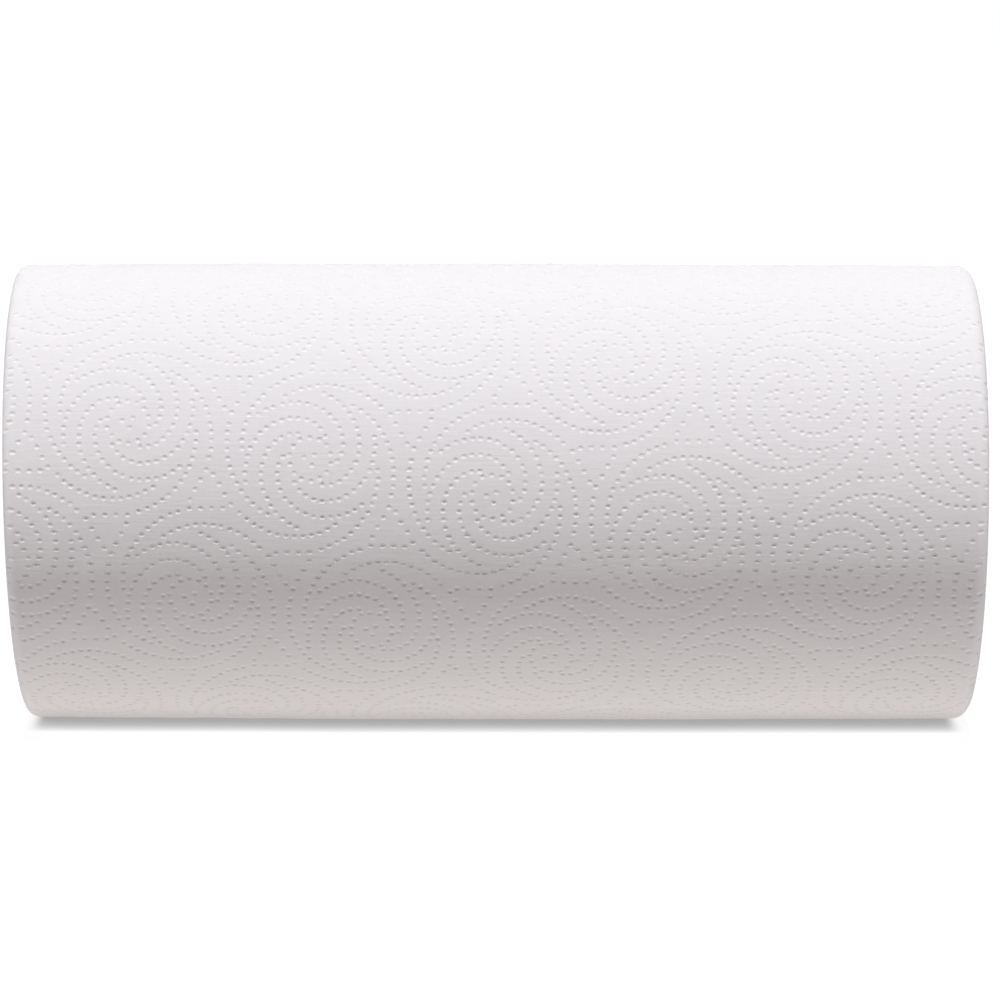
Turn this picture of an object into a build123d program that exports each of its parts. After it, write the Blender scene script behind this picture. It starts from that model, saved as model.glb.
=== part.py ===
from build123d import *
import math
import os

# Paper towel roll, lying on its side. Lengths are in millimetres, angles in degrees.
# X runs along the roll, -Y is the front and +Z is up. The origin is the centre of the
# small flat spot that the soft roll lies on.

# Paper
sheet_width = 279.4  # width of the paper, so also the length of the roll
roll_radius = 67.2  # where the roll is thickest, at the free end of the paper
sheet_thickness = 0.62  # one embossed two-ply sheet as wound, the step at its free end
free_end_angle = 76.0  # from +Y towards +Z, so just behind the top of the roll
edge_round = 5.0  # how far the soft outer edges are rounded over, in two flats
flat_spot_width = 20.0

# Cardboard core
core_inside_radius = 20.5
core_wall = 0.8
core_clearance = 0.15  # between the core and the innermost paper

# Turns that show on the ends, as bands of paper that stand proud and sunk by turns
band_spacing = 5.0
sunk_width = 2.2
sunk_depth = 1.0
plain_margin = 1.6  # unbroken paper inside the first sunk band and outside the last

# Worked out from the sizes above
quarter = 90
quarters_a_turn = 4
full_turn = quarter * quarters_a_turn
down = -quarter
winding = -1  # the paper winds outwards clockwise, seen from +X
core_outside_radius = core_inside_radius + core_wall
paper_bore_radius = core_outside_radius + core_clearance
turned_at_bottom = (free_end_angle - down) * winding % full_turn / full_turn
bottom_radius = roll_radius - sheet_thickness * turned_at_bottom
axis_height = math.sqrt(bottom_radius**2 - (flat_spot_width / 2) ** 2)
first_band_radius = paper_bore_radius + plain_margin
last_band_radius = roll_radius - edge_round - plain_margin - sunk_width
band_turns = math.floor((last_band_radius - first_band_radius) / band_spacing)
half_width = sheet_width / 2
edge_cut = edge_round * (1 - math.cos(math.radians(quarter / 2)))  # at the round's middle


def direction(angle):
    """Unit vector across the roll, as (along +Y, up)."""
    return Vector(math.cos(math.radians(angle)), math.sin(math.radians(angle)))


def cross_section(x):
    """Plane across the roll at x, centred on its axis, with +Y to the right and +Z up."""
    return Plane(origin=(x, 0, axis_height), x_dir=(0, 1, 0), z_dir=(1, 0, 0))


def quarter_arcs(first_radius, spacing, turns):
    """Centre, radius and start angle of each quarter arc of a spiral, from the free end's angle.

    Each arc is centred on the next corner of a square a quarter of the spacing wide, so
    the arcs join smoothly and the radius grows by one spacing a turn.
    """
    growth = spacing / quarters_a_turn
    angle = free_end_angle
    centre = (direction(angle + winding * quarter) - direction(angle)) * (growth / 2)
    radius = first_radius + growth / 2
    arcs = []
    for _ in range(turns * quarters_a_turn):
        arcs.append((centre, radius, angle))
        angle += winding * quarter
        centre = centre - direction(angle) * growth
        radius += growth
    return arcs


def draw_spiral(first_radius, spacing, turns):
    """Draw the spiral, and return its two ends."""
    arcs = quarter_arcs(first_radius, spacing, turns)
    drawn = [CenterArc(centre, radius, angle, winding * quarter) for centre, radius, angle in arcs]
    return drawn[0] @ 0, drawn[-1] @ 1


def draw_half_section(radius):
    """Outline from the axis out to the radius, with both outer edges rounded."""
    corners = [(half_width, 0), (half_width, radius - edge_round)]
    corners += [(half_width - edge_cut, radius - edge_cut), (half_width - edge_round, radius)]
    corners += [(-x, y) for x, y in reversed(corners)]
    Polyline(corners, close=True)


with BuildPart() as paper_roll:
    # The outermost turn, a quarter at a time, ends in a step as high as the sheet is thick
    for centre, radius, angle in quarter_arcs(roll_radius - sheet_thickness, sheet_thickness, 1):
        across = direction(angle)
        quarter_axis = Axis((0, centre.X, axis_height + centre.Y), (1, 0, 0))
        half_section = Plane(quarter_axis.position, x_dir=(1, 0, 0), z_dir=(0, -across.Y, across.X))
        with BuildSketch(half_section):
            with BuildLine():
                draw_half_section(radius)
            make_face()
        revolve(axis=quarter_axis, revolution_arc=winding * quarter)
    with BuildSketch(cross_section(0)):
        Circle(paper_bore_radius)
    extrude(amount=half_width, both=True, mode=Mode.SUBTRACT)

    # Bands on both ends, sunk along one spiral
    for end_x, inwards in ((half_width, -sunk_depth), (-half_width, sunk_depth)):
        with BuildSketch(cross_section(end_x)):
            with BuildLine():
                inner_start, inner_end = draw_spiral(first_band_radius, band_spacing, band_turns)
                outer_radius = first_band_radius + sunk_width
                outer_start, outer_end = draw_spiral(outer_radius, band_spacing, band_turns)
                Line(inner_start, outer_start)
                Line(inner_end, outer_end)
            make_face()
        extrude(amount=inwards, mode=Mode.SUBTRACT)

    # The flat spot, pressed by the roll's own weight
    split(bisect_by=Plane.XY, keep=Keep.TOP)
paper_roll.part.label = "paper_roll"

with BuildPart() as core_tube:
    with BuildSketch(cross_section(0)):
        Circle(core_outside_radius)
        Circle(core_inside_radius, mode=Mode.SUBTRACT)
    extrude(amount=half_width, both=True)
core_tube.part.label = "core_tube"

os.makedirs("parts", exist_ok=True)
export_step(paper_roll.part, "parts/paper_roll.step")
export_step(core_tube.part, "parts/core_tube.step")
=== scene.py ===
import math

import bpy
import numpy as np
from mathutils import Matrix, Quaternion, Vector
from mathutils.geometry import delaunay_2d_cdt
from mathutils.kdtree import KDTree


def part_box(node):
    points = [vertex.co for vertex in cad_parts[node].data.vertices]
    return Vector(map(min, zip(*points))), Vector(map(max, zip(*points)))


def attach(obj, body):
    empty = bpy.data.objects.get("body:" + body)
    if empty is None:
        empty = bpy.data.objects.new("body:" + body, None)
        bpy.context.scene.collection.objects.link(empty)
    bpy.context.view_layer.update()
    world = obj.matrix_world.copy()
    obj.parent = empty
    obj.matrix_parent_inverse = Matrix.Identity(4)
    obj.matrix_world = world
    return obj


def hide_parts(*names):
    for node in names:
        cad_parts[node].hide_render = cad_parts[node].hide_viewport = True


# Looks of a roll of embossed paper towel that lies on its side. Lengths are in metres.
# The roll is in the model's frame: X along it, -Y to the front and +Z up.

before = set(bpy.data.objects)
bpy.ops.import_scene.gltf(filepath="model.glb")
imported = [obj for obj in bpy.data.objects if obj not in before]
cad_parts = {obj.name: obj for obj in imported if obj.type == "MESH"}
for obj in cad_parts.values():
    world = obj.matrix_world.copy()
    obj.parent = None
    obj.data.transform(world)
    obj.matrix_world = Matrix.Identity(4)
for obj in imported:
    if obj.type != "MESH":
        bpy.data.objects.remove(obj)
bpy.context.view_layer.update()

MM = 0.001
TURN = 2 * math.pi

# Sizes read from the model's parts
roll_low, roll_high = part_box("paper_roll")
core_low, core_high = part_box("core_tube")
half_width = (roll_high.x - roll_low.x) / 2
axis_height = (core_low.z + core_high.z) / 2
core_outside_radius = (core_high.z - core_low.z) / 2
roll_radius = max(
    math.hypot(corner.co.y, corner.co.z - axis_height)
    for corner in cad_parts["paper_roll"].data.vertices
)

# Paper, with the same free end as the model
sheet_thickness = 0.62 * MM
sheet_length = 223.5 * MM
free_end_angle = math.radians(76)
mean_circumference = TURN * (roll_radius - sheet_thickness / 2)
left_edge_round = 3.4 * MM
right_edge_round = 4.4 * MM
middle_bulge = 0.45 * MM  # how much looser and thicker the outer turns are in the middle
flat_softness = 0.15 * MM
join_groove = 0.15 * MM  # depth of the perforated line between two sheets
join_groove_width = 0.6 * MM

# Free end of the paper
free_end_lift = 0.17 * MM
free_end_press = 0.27 * MM  # how far the free end is pressed down where it isn't lifted
free_end_reach = 5 * MM  # how soon lift and press fade away from the free end
free_end_wave = 60 * MM
paper_edge = 0.3 * MM  # thickness that the paper shows at its free end
under_free_end = 8 * MM

# Height and length of the paper's waves, and of the tears along its free end
small_waves = (0.05 * MM, 14 * MM)
wide_waves = (0.12 * MM, 70 * MM)
small_tears = (0.16 * MM, 3.5 * MM)
wide_tears = (0.3 * MM, 80 * MM)

# How far the ends have slipped to the right at the axis, and how much more at the top
slip_at_axis = 0.4 * MM
left_slip_at_top = -1.6 * MM
right_slip_at_top = 0.5 * MM

# Embossing: dotted pinwheels on a triangular lattice, with dotted triangles between them
lattice_pitch = 52.55 * MM
lattice_tilt = math.radians(-11.35)
stretch_around = 1.024  # the pattern is a little longer round the roll than along it
middle_pinwheel = complex(-0.77, -1.40) * MM  # along the roll, and up from where it faces the camera
dent_radius = 0.86 * MM
dent_stretch = 1.28  # a dent is longer along the roll
dent_depth = 0.36 * MM
dent_profile = 1.2  # 1 is a round bowl, and more than 1 runs out softer at the rim
least_pressed, most_pressed = 0.65, 1.15  # shares of the depth that single dents have
dent_wander = 0.07 * MM
bare_edge = 1.3 * MM  # paper without dents along a sheet's borders

# Mesh of the embossed paper: rings of points in each dent, and a grid between the dents
dent_rings = (0.74, 1.04)  # shares of the dent's radius
points_a_ring = 7
grid_spacing = 1.6 * MM
grid_clear_of_dents = 1.7 * MM
border_spacing = 1.5 * MM
clear_of_border = 0.3 * MM
same_point = 1e-7

# Edges of the turns on both ends
steps_a_turn = 236
turn_gap = 0.75 * MM  # depth of the gap between two turns
ply_gap = 0.25 * MM  # depth of the gap between the two plies of a turn
# Rows of points across a turn: share of its thickness, and depth of the gap there
turn_rows = ((0.0, turn_gap), (0.2, 0.0), (0.44, 0.0), (0.54, ply_gap), (0.64, 0.0), (0.84, 0.0))
end_recess = 0.3 * MM
core_clearance = 0.1 * MM
slips_a_turn = 2
spare_slips = 4
turn_slip = 0.09 * MM  # how far single turns stand out
small_end_waves = (0.09 * MM, 8 * MM)
wide_end_waves = (0.16 * MM, 50 * MM)
turn_wander = (0.08 * MM, 12 * MM)
gap_waves = (0.5, 22 * MM)  # how much the share by which a gap is open goes up and down
usual_gap, least_gap, most_gap = 0.65, 0.15, 1.5  # shares by which a gap is open
flat_fade = 4  # power by which the flat spot fades towards the core
least_quad = 0.06 * MM  # quads with less than half of such a square's area are left out

# The camera looks along +Y and slightly down
camera_elevation = math.radians(8)
camera_distance = 1.416
camera_lens = 171.8
camera_sensor = 36.0
camera_roll = math.radians(0.12)
picture_side = 1000
axis_in_picture = (495, 492)  # where the middle of the roll's axis shows

# Floor and room, both seen as white
floor_reach = 4.0
foot_shadow_reach = 7.3 * MM
foot_shadow_end = (half_width - 7 * MM, half_width - 2 * MM)  # between these it fades away
foot_shadow_levels = (0.33, 0.96)  # glow of the floor in the deepest shadow and in the open
gone_past_ends = 0.9  # share of the shadow that is gone past the roll's ends
from_below_levels = (0.74, 1)  # light that comes up through the floor, at the roll and away from it
floor_colour = (0.10, 0.10, 0.10, 1)
table_colour = (1.0, 0.955, 0.915, 1)
table_light = 0.985
room_light = 0.056
table_to_room = (-0.8, 0.1)  # heights on the unit sphere between which table turns into room
white = (1, 1, 1, 1)


def turned_by(angle):
    """Complex number that turns a point of the pattern by an angle."""
    return np.exp(1j * angle)


def ring_dots(radius, count, first_angle=0.0):
    return radius * turned_by(first_angle + TURN * np.arange(count) / count)


def spiral_dots(radii, first_angle, sweep, count, bow=0.0):
    """Dots at even steps along a spiral. A bow above zero makes it widen faster at first."""
    fine_steps = 400
    share = np.linspace(0, 1, fine_steps)
    radius = radii[0] + (radii[1] - radii[0]) * (share + bow * share * (1 - share))
    line = radius * turned_by(first_angle + sweep * share)
    run = np.concatenate([[0], np.cumsum(np.abs(np.diff(line)))])
    steps = np.linspace(0, run[-1], count)
    return np.interp(steps, run, line.real) + 1j * np.interp(steps, run, line.imag)


def triangle_dots(spacing=3.2 * MM, side_distance=3.9 * MM, run_on=0.8 * MM, dots_a_side=4):
    """A triangle whose sides run on past one corner each, like a small pinwheel."""
    from_middle = np.arange(dots_a_side) - (dots_a_side - 1) / 2
    side = from_middle * spacing - run_on - 1j * side_distance
    return np.concatenate([side * turned_by(TURN * k / 3) for k in range(3)])


def pinwheel_dots():
    """One pinwheel and the two triangles that belong to it, about the pinwheel's centre."""
    eye = ring_dots(radius=1.75 * MM, count=3, first_angle=math.radians(57.6))
    inner_ring = ring_dots(radius=6.0 * MM, count=14)
    arm = spiral_dots(
        radii=(7.85 * MM, 19.3 * MM),
        first_angle=math.radians(7.3),
        sweep=math.radians(143),
        count=16,
        bow=0.08,
    )
    rim = spiral_dots(
        radii=(19.4 * MM, 25.0 * MM),
        first_angle=math.radians(2.6),
        sweep=math.radians(-74.6),
        count=13,
    )
    to_corner = lattice_pitch / math.sqrt(3) * turned_by(-TURN / 12)
    corner = to_corner + triangle_dots() * turned_by(-lattice_tilt)
    sixths = [turned_by(TURN * k / 6) for k in range(6)]
    arms = [line * sixth for sixth in sixths for line in (arm, rim)]
    corners = [corner * sixth for sixth in sixths[:2]]
    return np.concatenate([eye, inner_ring, *arms, *corners])


def emboss_dots():
    """All dots as (x along the roll, distance along the paper from its free end)."""
    to_front = math.pi - camera_elevation - free_end_angle
    front = to_front / TURN * mean_circumference
    reach = int(2 * mean_circumference / lattice_pitch)
    first, second = turned_by(lattice_tilt), turned_by(lattice_tilt + TURN / 6)
    cell = pinwheel_dots() * turned_by(lattice_tilt) + middle_pinwheel
    places = [
        lattice_pitch * (i * first + j * second)
        for i in range(-reach, reach + 1)
        for j in range(-reach, reach + 1)
    ]
    dots = (cell[None, :] + np.array(places)[:, None]).ravel()
    dots = np.column_stack([dots.real, front - dots.imag * stretch_around])
    return dots + np.random.default_rng(seed=2).normal(0, dent_wander, dots.shape)


def waves(points, height, length, seed, count=10):
    """Smooth waves of about a height over flat points, always the same for a seed."""
    shortest, longest = 0.7 * length, 1.5 * length
    draw = np.random.default_rng(seed)
    heading = draw.uniform(0, TURN, count)
    lengths = draw.uniform(shortest, longest, count)
    phase = draw.uniform(0, TURN, count)
    run = np.outer(points[:, 0], np.cos(heading)) + np.outer(points[:, 1], np.sin(heading))
    return height * np.cos(run / lengths * TURN + phase).sum(1) / math.sqrt(count * 2)


def nearest_dots(points, dots):
    """Number of the nearest dot to each point, and the distance to it."""
    tree = KDTree(len(dots))
    for number, (x, along) in enumerate(dots):
        tree.insert((x, along, 0), number)
    tree.balance()
    found = [tree.find((x, along, 0)) for x, along in points]
    return np.array([spot[1] for spot in found]), np.array([spot[2] for spot in found])


def ease(share):
    """Smooth step from 0 to 1."""
    share = np.clip(share, 0, 1)
    return share * share * (3 - 2 * share)


def end_lean(x, up):
    """How far each end leans: the top of the roll's turns slipped outwards, the foot inwards."""
    rise = (up - axis_height) / roll_radius
    slip_at_top = np.where(x < 0, left_slip_at_top, right_slip_at_top)
    return (slip_at_axis + slip_at_top * rise) * np.abs(x) / half_width


def flat_drop(angle, radius):
    """How far the flat spot lowers the surface at an angle round the roll."""
    barely_down = 1e-6
    reach = axis_height / np.maximum(-np.sin(angle), barely_down)
    soft = np.logaddexp(-radius / flat_softness, -reach / flat_softness)
    return np.maximum(radius + soft * flat_softness, 0)


def past_round_start(x):
    """Share of the rounded end edge that a place along the roll is past, and its radius."""
    edge_round = np.where(x > 0, right_edge_round, left_edge_round)
    return np.maximum(np.abs(x) - (half_width - edge_round), 0) / edge_round, edge_round


def settled_radius(turns, x):
    """Radius of the outermost turn before its ends are rounded."""
    radius = roll_radius - sheet_thickness * turns
    radius = radius + middle_bulge * (1 - (x / half_width) ** 2)
    return radius - flat_drop(free_end_angle + TURN * turns, radius)


def on_roll(points, height):
    """Place flat points of the paper round the roll, height above its surface."""
    x, along = points[:, 0], points[:, 1]
    turns = along / mean_circumference
    angle = free_end_angle + TURN * turns
    radius = settled_radius(turns, x)
    past, edge_round = past_round_start(x)
    bend = past * (TURN / 4)
    side = np.sign(x)
    outwards = side * np.sin(bend)
    round_x = side * (half_width - edge_round) + outwards * edge_round
    place_x = np.where(past > 0, round_x, x) + outwards * height
    radius = radius - edge_round * (1 - np.cos(bend)) + np.cos(bend) * height
    up = np.maximum(axis_height + radius * np.sin(angle), 0)
    place_x = place_x + end_lean(place_x, up)
    return np.column_stack([place_x, radius * np.cos(angle), up])


def grid_points(low, high, spacing):
    """Points of a triangular grid inside a rectangle."""
    row_step = spacing * math.sqrt(3) / 2
    rows = np.arange(low[1] + row_step, high[1] - row_step / 2, row_step)
    points = []
    for number, row in enumerate(rows):
        shift = spacing / 2 * (number % 2)
        columns = np.arange(low[0] + spacing / 2 + shift, high[0] - spacing / 2, spacing)
        points.append(np.column_stack([columns, np.full(len(columns), row)]))
    return np.concatenate(points)


def border_points(low, high, spacing):
    """Points round a rectangle, corners included."""
    columns = np.linspace(low[0], high[0], round((high[0] - low[0]) / spacing) + 1)
    rows = np.linspace(low[1], high[1], round((high[1] - low[1]) / spacing) + 1)[1:-1]
    sides = [(columns, low[1]), (columns, high[1]), (low[0], rows), (high[0], rows)]
    return np.concatenate([np.column_stack(np.broadcast_arrays(*side)) for side in sides])


def make_piece(name, points, faces, material, node, normals=None):
    mesh = bpy.data.meshes.new(name)
    mesh.from_pydata(points.tolist(), [], faces)
    mesh.shade_smooth()
    if normals is not None:
        mesh.normals_split_custom_set_from_vertices(normals.tolist())
    mesh.materials.append(material)
    piece = bpy.data.objects.new(name, mesh)
    bpy.context.scene.collection.objects.link(piece)
    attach(piece, "root")
    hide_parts(node)


def paper_height(points, dots):
    """Height of the paper over the roll's even surface. Each point comes with its nearest dot."""
    place, pressed = dots
    away = np.hypot(*((points - place) / (dent_radius * np.array([dent_stretch, 1]))).T)
    dent = -dent_depth * pressed * np.maximum(1 - away**2, 0) ** dent_profile
    uneven = waves(points, *small_waves, seed=3) + waves(points, *wide_waves, seed=5)
    past, _ = past_round_start(points[:, 0])
    from_join = (points[:, 1] - sheet_length) / join_groove_width
    groove = join_groove * np.exp(-(from_join**2))
    height = dent + (uneven - groove) * (1 - ease(past))
    along_end = points * np.array([1, 0])
    lift = free_end_lift + waves(along_end, free_end_lift, free_end_wave, seed=6, count=4)
    fade = np.exp(-points[:, 1] / free_end_reach)
    return height + (lift - free_end_press) * fade * (1 - ease(past))


def paper_surface(points, dots):
    return on_roll(points, paper_height(points, dots))


def surface_normals(points, dots):
    """Normals of the paper, from how it runs along the roll and round it."""
    step = 0.01 * MM
    run = []
    for offset in (np.array([step, 0]), np.array([0, step])):
        run.append(paper_surface(points + offset, dots) - paper_surface(points - offset, dots))
    normals = np.cross(run[1], run[0])
    length = np.linalg.norm(normals, axis=1)
    return normals / np.maximum(length, 1e-12)[:, None]


def sheet_points(dots, low, high):
    """Flat mesh points of a sheet: every dent with rings round it, a grid between, a border."""
    rings = [ring_dots(share * dent_radius, points_a_ring, TURN / 4) for share in dent_rings]
    spots = [dots] + [
        dots + np.array([offset.real * dent_stretch, offset.imag])
        for ring in rings
        for offset in ring
    ]
    between = grid_points(low, high, grid_spacing)
    between = between[nearest_dots(between, dots)[1] > grid_clear_of_dents]
    points = np.concatenate([*spots, between])
    above_low = points > np.array(low) + clear_of_border
    below_high = points < np.array(high) - clear_of_border
    inside = (above_low & below_high).all(1)
    return np.concatenate([points[inside], border_points(low, high, border_spacing)])


def embossed_sheet(name, start, end, material):
    """The paper from one distance to another from its free end."""
    dots = all_dots[
        (np.abs(all_dots[:, 0]) < half_width - bare_edge)
        & (all_dots[:, 1] > start + bare_edge)
        & (all_dots[:, 1] < end - bare_edge)
    ]
    points = sheet_points(dots, (-half_width, start), (half_width, end))
    flat = [Vector(point) for point in points.tolist()]
    flat, _, faces, *_ = delaunay_2d_cdt(flat, [], [], 0, same_point)
    points = np.array([tuple(point) for point in flat])
    nearest, _ = nearest_dots(points, dots)
    pressed = np.random.default_rng(seed=4).uniform(least_pressed, most_pressed, len(dots))
    dots = (dots[nearest], pressed[nearest])
    surface, normals = paper_surface(points, dots), surface_normals(points, dots)
    faces = [face[::-1] for face in faces]
    if start == 0:
        surface, normals, faces = with_torn_edge(points, surface, normals, faces)
    make_piece(name, surface, faces, material, "paper_roll", normals)


def with_torn_edge(points, surface, normals, faces):
    """Make the free end's line ragged, and add its edge and a strip of the underside."""
    on_the_line = 0.01 * MM
    front = np.flatnonzero(points[:, 1] < on_the_line)
    front = front[np.argsort(points[front, 0])]
    line = points[front]
    torn = waves(line, *small_tears, seed=7) + waves(line, *wide_tears, seed=8)
    angle = free_end_angle + torn / roll_radius
    around = np.column_stack([0 * angle, -np.sin(angle), np.cos(angle)])
    surface[front] += around * torn[:, None]
    edge = surface[front] - normals[front] * paper_edge
    tucked = on_roll(line + np.array([0, under_free_end / 2]), np.full(len(line), -paper_edge))
    count, total = len(front), len(points)
    rows = [front.tolist(), range(total, total + count), range(total + count, total + 2 * count)]
    for upper, lower in zip(rows, rows[1:]):
        for i in range(count - 1):
            faces.append((upper[i], upper[i + 1], lower[i + 1], lower[i]))
    normals = np.concatenate([normals, -around, -normals[front]])
    return np.concatenate([surface, edge, tucked]), normals, faces


def turns_unevenness(turned, turns, side):
    """Along the spiral: how far turns stand out, how open their gaps are and how they wander."""
    run = np.cumsum(roll_radius - sheet_thickness * turned) * TURN / steps_a_turn
    turns_apart = 10 * MM
    apart = np.column_stack([turned * turns_apart, run])
    slips = np.random.default_rng(seed=3 + side).normal(0, 1, slips_a_turn * turns + spare_slips)
    slipped = np.interp(turned * slips_a_turn, np.arange(len(slips)), slips * np.abs(slips))
    out = turn_slip * slipped + waves(apart, *small_end_waves, seed=11)
    out = out + waves(apart, *wide_end_waves, seed=12)
    open_gap = np.clip(usual_gap + waves(apart, *gap_waves, seed=13), least_gap, most_gap)
    return out, open_gap, waves(apart, *turn_wander, seed=14)


def spiral_quads(points, steps, count):
    """Faces of a spiral strip with a count of rows, whose last row meets the next turn's first.

    Those that are squeezed flat at the core are left out.
    """
    base = np.arange(steps)[:, None] * count + np.arange(count)
    following = base + 1
    following[:, -1] = base[:, 0] + steps_a_turn * count
    quads = np.stack([base, following, following + count, base + count], -1).reshape(-1, 4)
    corners = points[quads]
    across = np.cross(corners[:, 2] - corners[:, 0], corners[:, 3] - corners[:, 1])
    return quads[np.linalg.norm(across, axis=1) > least_quad**2]


def wound_end(name, side, edge_round, material):
    """Edges of all turns on one end: a spiral strip whose rows are the edges of two plies."""
    room = roll_radius - edge_round - core_outside_radius - core_clearance
    turns = int(room / sheet_thickness)
    pitch = room / turns
    turned = np.arange((turns + 1) * steps_a_turn + 1) / steps_a_turn
    angle = free_end_angle + TURN * turned
    outermost = np.minimum(turned, 1)
    outer = settled_radius(outermost, side * half_width)
    lost = roll_radius - sheet_thickness * outermost - outer
    settle = ease(turned)
    out, open_gap, wander = turns_unevenness(turned, turns, side)
    strip = []
    for share, depth in turn_rows:
        start_radius = roll_radius - pitch * (turned + share)
        weight = np.minimum((start_radius + sheet_thickness) / roll_radius, 1) ** flat_fade
        radius = start_radius - edge_round - lost * weight + wander * settle
        radius = np.maximum(radius, core_outside_radius)
        up = axis_height + radius * np.sin(angle)
        x = side * (half_width + (out - end_recess - depth * open_gap) * settle)
        strip.append(np.column_stack([x + end_lean(x, up), radius * np.cos(angle), up]))
    points = np.stack(strip, 1).reshape(-1, 3)
    quads = spiral_quads(points, turns * steps_a_turn, len(turn_rows))
    if side > 0:
        quads = quads[:, ::-1]
    make_piece(name, points, quads.tolist(), material, "paper_roll")


def new_material(name):
    material = bpy.data.materials.new(name)
    material.use_nodes = True
    material.node_tree.nodes.clear()
    return material, material.node_tree.nodes, material.node_tree.links


def add_surface(nodes, links, specular):
    """The shader that a material shows."""
    output = nodes.new("ShaderNodeOutputMaterial")
    shader = nodes.new("ShaderNodeBsdfPrincipled")
    shader.inputs["Specular IOR Level"].default_value = specular
    links.new(shader.outputs["BSDF"], output.inputs["Surface"])
    return shader


def add_noise(nodes, links, scale, detail, stretch=(1, 1, 1)):
    """Noise over the object, finer along the axes with more stretch."""
    place = nodes.new("ShaderNodeTexCoord")
    mapping = nodes.new("ShaderNodeMapping")
    mapping.inputs["Scale"].default_value = stretch
    noise = nodes.new("ShaderNodeTexNoise")
    noise.inputs["Scale"].default_value = scale
    noise.inputs["Detail"].default_value = detail
    links.new(place.outputs["Object"], mapping.inputs["Vector"])
    links.new(mapping.outputs["Vector"], noise.inputs["Vector"])
    return noise.outputs["Fac"]


def add_tint(nodes, links, level, low_colour, high_colour, low=0.3, high=0.7):
    """Colour between two tints by a level from 0 to 1."""
    tint = nodes.new("ShaderNodeValToRGB")
    tint.color_ramp.elements[0].position = low
    tint.color_ramp.elements[0].color = low_colour
    tint.color_ramp.elements[1].position = high
    tint.color_ramp.elements[1].color = high_colour
    links.new(level, tint.inputs["Fac"])
    return tint.outputs["Color"]


def add_range(nodes, links, level, to_levels, from_levels=(0, 1), kind="LINEAR"):
    """Turn a level between two values into one between two others."""
    scaled = nodes.new("ShaderNodeMapRange")
    scaled.interpolation_type = kind
    ends = dict(zip(("From Min", "From Max", "To Min", "To Max"), (*from_levels, *to_levels)))
    for socket, value in ends.items():
        scaled.inputs[socket].default_value = value
    links.new(level, scaled.inputs["Value"])
    return scaled.outputs["Result"]


def add_bump(nodes, links, level, depth, under=None):
    """Bump of a depth in metres by a level from 0 to 1, over another bump if one is given."""
    bump = nodes.new("ShaderNodeBump")
    bump.inputs["Distance"].default_value = depth
    links.new(level, bump.inputs["Height"])
    if under:
        links.new(under, bump.inputs["Normal"])
    return bump.outputs["Normal"]


def add_math(nodes, links, operation, first, second=None):
    """A sum or the like of one or two levels or plain numbers."""
    node = nodes.new("ShaderNodeMath")
    node.operation = operation
    for socket, value in zip(node.inputs, (first, second)):
        if isinstance(value, (int, float)):
            socket.default_value = value
        elif value is not None:
            links.new(value, socket)
    return node.outputs["Value"]


def add_place(nodes, links, kind="Object"):
    """Places over the object or, as Generated, directions in the world, split into X, Y and Z."""
    place = nodes.new("ShaderNodeTexCoord")
    split = nodes.new("ShaderNodeSeparateXYZ")
    links.new(place.outputs[kind], split.inputs["Vector"])
    return split.outputs


def mix_shaders(nodes, links, share, first, second):
    mix = nodes.new("ShaderNodeMixShader")
    links.new(share, mix.inputs["Fac"])
    links.new(first, mix.inputs[1])
    links.new(second, mix.inputs[2])
    return mix.outputs["Shader"]


def paper_material():
    """Soft white tissue with fine crepe lines along the roll."""
    material, nodes, links = new_material("towel_paper")
    shader = add_surface(nodes, links, specular=0.2)
    mottle = add_noise(nodes, links, scale=260, detail=4)
    fibres = add_noise(nodes, links, scale=2200, detail=4)
    crepe = add_noise(nodes, links, scale=1100, detail=2, stretch=(0.12, 1, 1))
    tint = add_tint(nodes, links, mottle, (0.872, 0.847, 0.877, 1), (0.888, 0.863, 0.893, 1))
    links.new(tint, shader.inputs["Base Color"])
    rough = add_range(nodes, links, fibres, to_levels=(0.8, 0.98))
    links.new(rough, shader.inputs["Roughness"])
    fine = add_bump(nodes, links, fibres, depth=0.04 * MM)
    creped = add_bump(nodes, links, crepe, depth=0.08 * MM, under=fine)
    links.new(creped, shader.inputs["Normal"])
    return material


def seam_level(nodes, links, pitch, width):
    """1 on a helical line round the roll's axis, and 0 away from it."""
    place = add_place(nodes, links)
    rise = add_math(nodes, links, "SUBTRACT", place["Z"], axis_height)
    angle = add_math(nodes, links, "ARCTAN2", rise, place["Y"])
    turned = add_math(nodes, links, "DIVIDE", angle, TURN)
    along = add_math(nodes, links, "DIVIDE", place["X"], pitch)
    run = add_math(nodes, links, "ADD", turned, along)
    away = add_math(nodes, links, "PINGPONG", run, 0.5)
    return add_math(nodes, links, "LESS_THAN", away, width / pitch)


def cardboard_material():
    """Grey-brown card, wound from a strip whose edges meet in a helical seam."""
    material, nodes, links = new_material("core_cardboard")
    shader = add_surface(nodes, links, specular=0.25)
    shader.inputs["Roughness"].default_value = 0.85
    fibres = add_noise(nodes, links, scale=600, detail=6)
    card = add_tint(nodes, links, fibres, (0.36, 0.28, 0.20, 1), (0.52, 0.42, 0.32, 1))
    seam = seam_level(nodes, links, pitch=95 * MM, width=0.5 * MM)
    mix = nodes.new("ShaderNodeMix")
    mix.data_type = "RGBA"
    links.new(seam, mix.inputs["Factor"])
    links.new(card, mix.inputs["A"])
    mix.inputs["B"].default_value = (0.20, 0.15, 0.10, 1)
    links.new(mix.outputs["Result"], shader.inputs["Base Color"])
    links.new(add_bump(nodes, links, fibres, depth=0.1 * MM), shader.inputs["Normal"])
    return material


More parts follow.
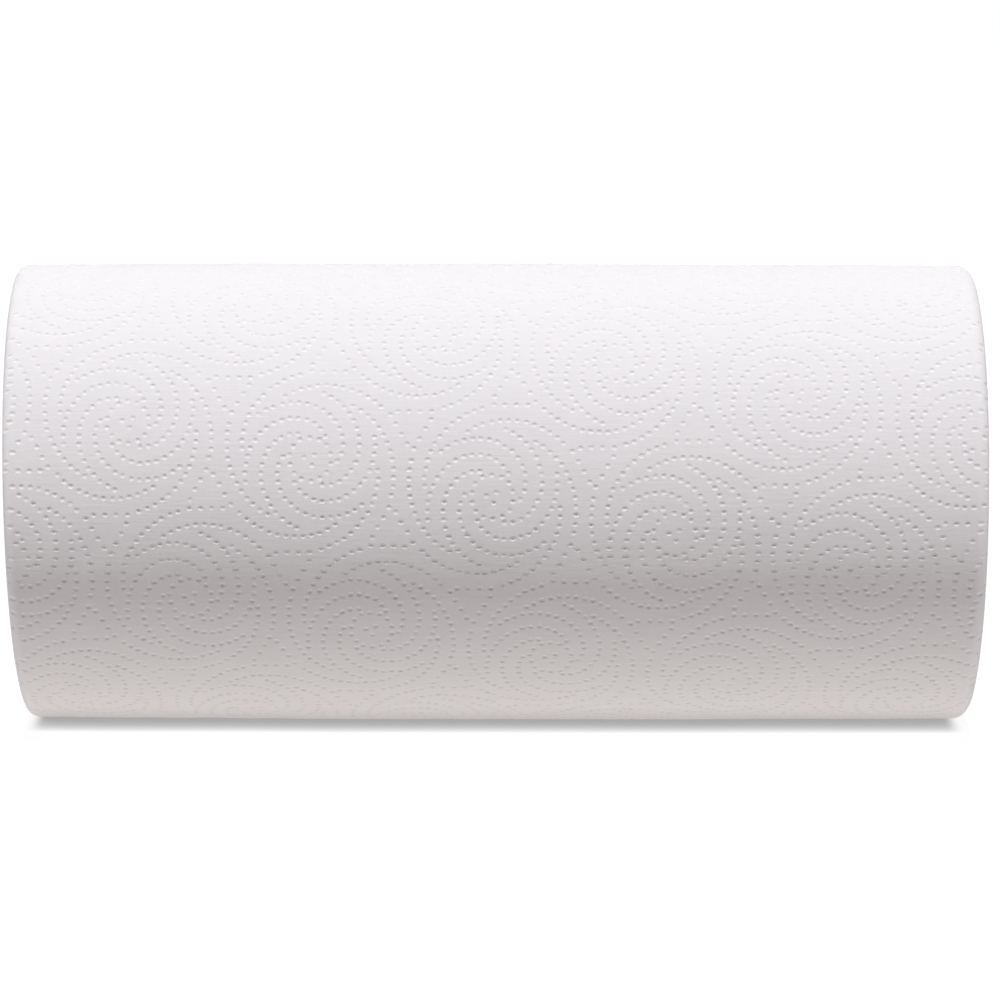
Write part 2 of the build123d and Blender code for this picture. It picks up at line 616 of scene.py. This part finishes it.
def seen_rays(nodes, links):
    """1 for rays by which the background is seen, also in shiny or clear things."""
    ray = nodes.new("ShaderNodeLightPath")
    seen = ray.outputs["Is Camera Ray"]
    for name in ("Is Glossy Ray", "Is Transmission Ray"):
        seen = add_math(nodes, links, "MAXIMUM", seen, ray.outputs[name])
    return seen


def foot_shadow(nodes, links, open_above):
    """Glow of the floor: white in the open, darker by how little is open above it."""
    aside = add_math(nodes, links, "ABSOLUTE", add_place(nodes, links)["X"])
    gone = (0, gone_past_ends)
    past_end = add_range(nodes, links, aside, gone, foot_shadow_end, kind="SMOOTHSTEP")
    lightened = nodes.new("ShaderNodeMix")
    lightened.data_type = "FLOAT"
    links.new(past_end, lightened.inputs["Factor"])
    links.new(open_above, lightened.inputs["A"])
    lightened.inputs["B"].default_value = 1
    return add_range(nodes, links, lightened.outputs["Result"], foot_shadow_levels)


def seen_floor_material():
    """White floor with the lamps' shadow and a soft one under what stands on it.

    Other rays than those by which it is seen pass through it, a little dimmed close to the roll,
    so that the world's lower half lights the roll from below.
    """
    material, nodes, links = new_material("seen_floor")
    output = nodes.new("ShaderNodeOutputMaterial")
    near = nodes.new("ShaderNodeAmbientOcclusion")
    near.inputs["Distance"].default_value = foot_shadow_reach
    near.samples = 8
    glow = nodes.new("ShaderNodeEmission")
    links.new(foot_shadow(nodes, links, near.outputs["AO"]), glow.inputs["Strength"])
    pale = nodes.new("ShaderNodeBsdfDiffuse")
    pale.inputs["Color"].default_value = floor_colour
    shown = nodes.new("ShaderNodeAddShader")
    links.new(pale.outputs["BSDF"], shown.inputs[0])
    links.new(glow.outputs["Emission"], shown.inputs[1])
    let_through = nodes.new("ShaderNodeBsdfTransparent")
    from_below = add_range(nodes, links, near.outputs["AO"], from_below_levels)
    links.new(from_below, let_through.inputs["Color"])
    seen = seen_rays(nodes, links)
    mixed = mix_shaders(nodes, links, seen, let_through.outputs["BSDF"], shown.outputs["Shader"])
    links.new(mixed, output.inputs["Surface"])
    return material


def make_floor():
    """A wide floor that is seen and takes the shadow, and lets the room's light through."""
    mesh = bpy.data.meshes.new("floor")
    sides = ((-1, -1), (1, -1), (1, 1), (-1, 1))
    mesh.from_pydata([(x * floor_reach, y * floor_reach, 0) for x, y in sides], [], [(0, 1, 2, 3)])
    mesh.materials.append(seen_floor_material())
    floor = bpy.data.objects.new("floor", mesh)
    bpy.context.scene.collection.objects.link(floor)
    floor.visible_shadow = False


def make_camera():
    camera_data = bpy.data.cameras.new("camera")
    camera_data.sensor_width = camera_sensor
    camera_data.lens = camera_lens
    camera = bpy.data.objects.new("camera", camera_data)
    bpy.context.scene.collection.objects.link(camera)
    bpy.context.scene.camera = camera
    back = Vector((0, -math.cos(camera_elevation), math.sin(camera_elevation)))
    right = Vector((1, 0, 0))
    up = right.cross(-back)
    a_pixel = camera_distance * camera_sensor / camera_lens / picture_side
    aside = (picture_side / 2 - axis_in_picture[0]) * a_pixel
    below = (axis_in_picture[1] - picture_side / 2) * a_pixel
    target = Vector((0, 0, axis_height)) + right * aside + up * below
    camera.location = Vector((0, 0, axis_height)) + back * camera_distance
    camera.rotation_mode = "QUATERNION"
    look = (target - camera.location).to_track_quat("-Z", "Y")
    camera.rotation_quaternion = look @ Quaternion((0, 0, 1), camera_roll)


def make_lamp(name, azimuth, elevation, angle, strength):
    """A lamp at an azimuth from the front, to the right, and an elevation. Angles in degrees."""
    lamp_data = bpy.data.lights.new(name, "SUN")
    lamp_data.energy = strength * math.pi  # at strength 1 a colour shows as written
    lamp_data.angle = math.radians(angle)
    lamp = bpy.data.objects.new(name, lamp_data)
    lamp.rotation_euler = (math.radians(90 - elevation), 0, math.radians(azimuth))
    bpy.context.scene.collection.objects.link(lamp)


def add_background(nodes, colour, strength):
    background = nodes.new("ShaderNodeBackground")
    background.inputs["Color"].default_value = colour
    background.inputs["Strength"].default_value = strength
    return background.outputs["Background"]


def make_room():
    """Dim room over a white table, whose light comes up at the roll. Both are seen as white."""
    world = bpy.data.worlds.new("room")
    bpy.context.scene.world = world
    world.use_nodes = True
    nodes, links = world.node_tree.nodes, world.node_tree.links
    nodes.clear()
    output = nodes.new("ShaderNodeOutputWorld")
    height = add_place(nodes, links, "Generated")["Z"]
    upwards = add_range(nodes, links, height, to_levels=(0, 1), from_levels=table_to_room)
    table = add_background(nodes, table_colour, table_light)
    room = add_background(nodes, white, room_light)
    light = mix_shaders(nodes, links, upwards, table, room)
    seen_white = add_background(nodes, white, 1)
    mixed = mix_shaders(nodes, links, seen_rays(nodes, links), light, seen_white)
    links.new(mixed, output.inputs["Surface"])


all_dots = emboss_dots()
paper = paper_material()
embossed_sheet("outer_sheet", 0, sheet_length, paper)
embossed_sheet("next_sheet", sheet_length, mean_circumference + under_free_end, paper)
wound_end("left_turns", -1, left_edge_round, paper)
wound_end("right_turns", 1, right_edge_round, paper)
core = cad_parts["core_tube"]
core.data.materials.clear()
core.data.materials.append(cardboard_material())
make_floor()
make_camera()
make_lamp("softbox", azimuth=0, elevation=74, angle=8, strength=0.985)
make_lamp("left_fill", azimuth=-90, elevation=4, angle=40, strength=0.185)
make_lamp("right_fill", azimuth=90, elevation=4, angle=40, strength=0.185)
make_room()
bpy.context.scene.view_settings.view_transform = "Standard"
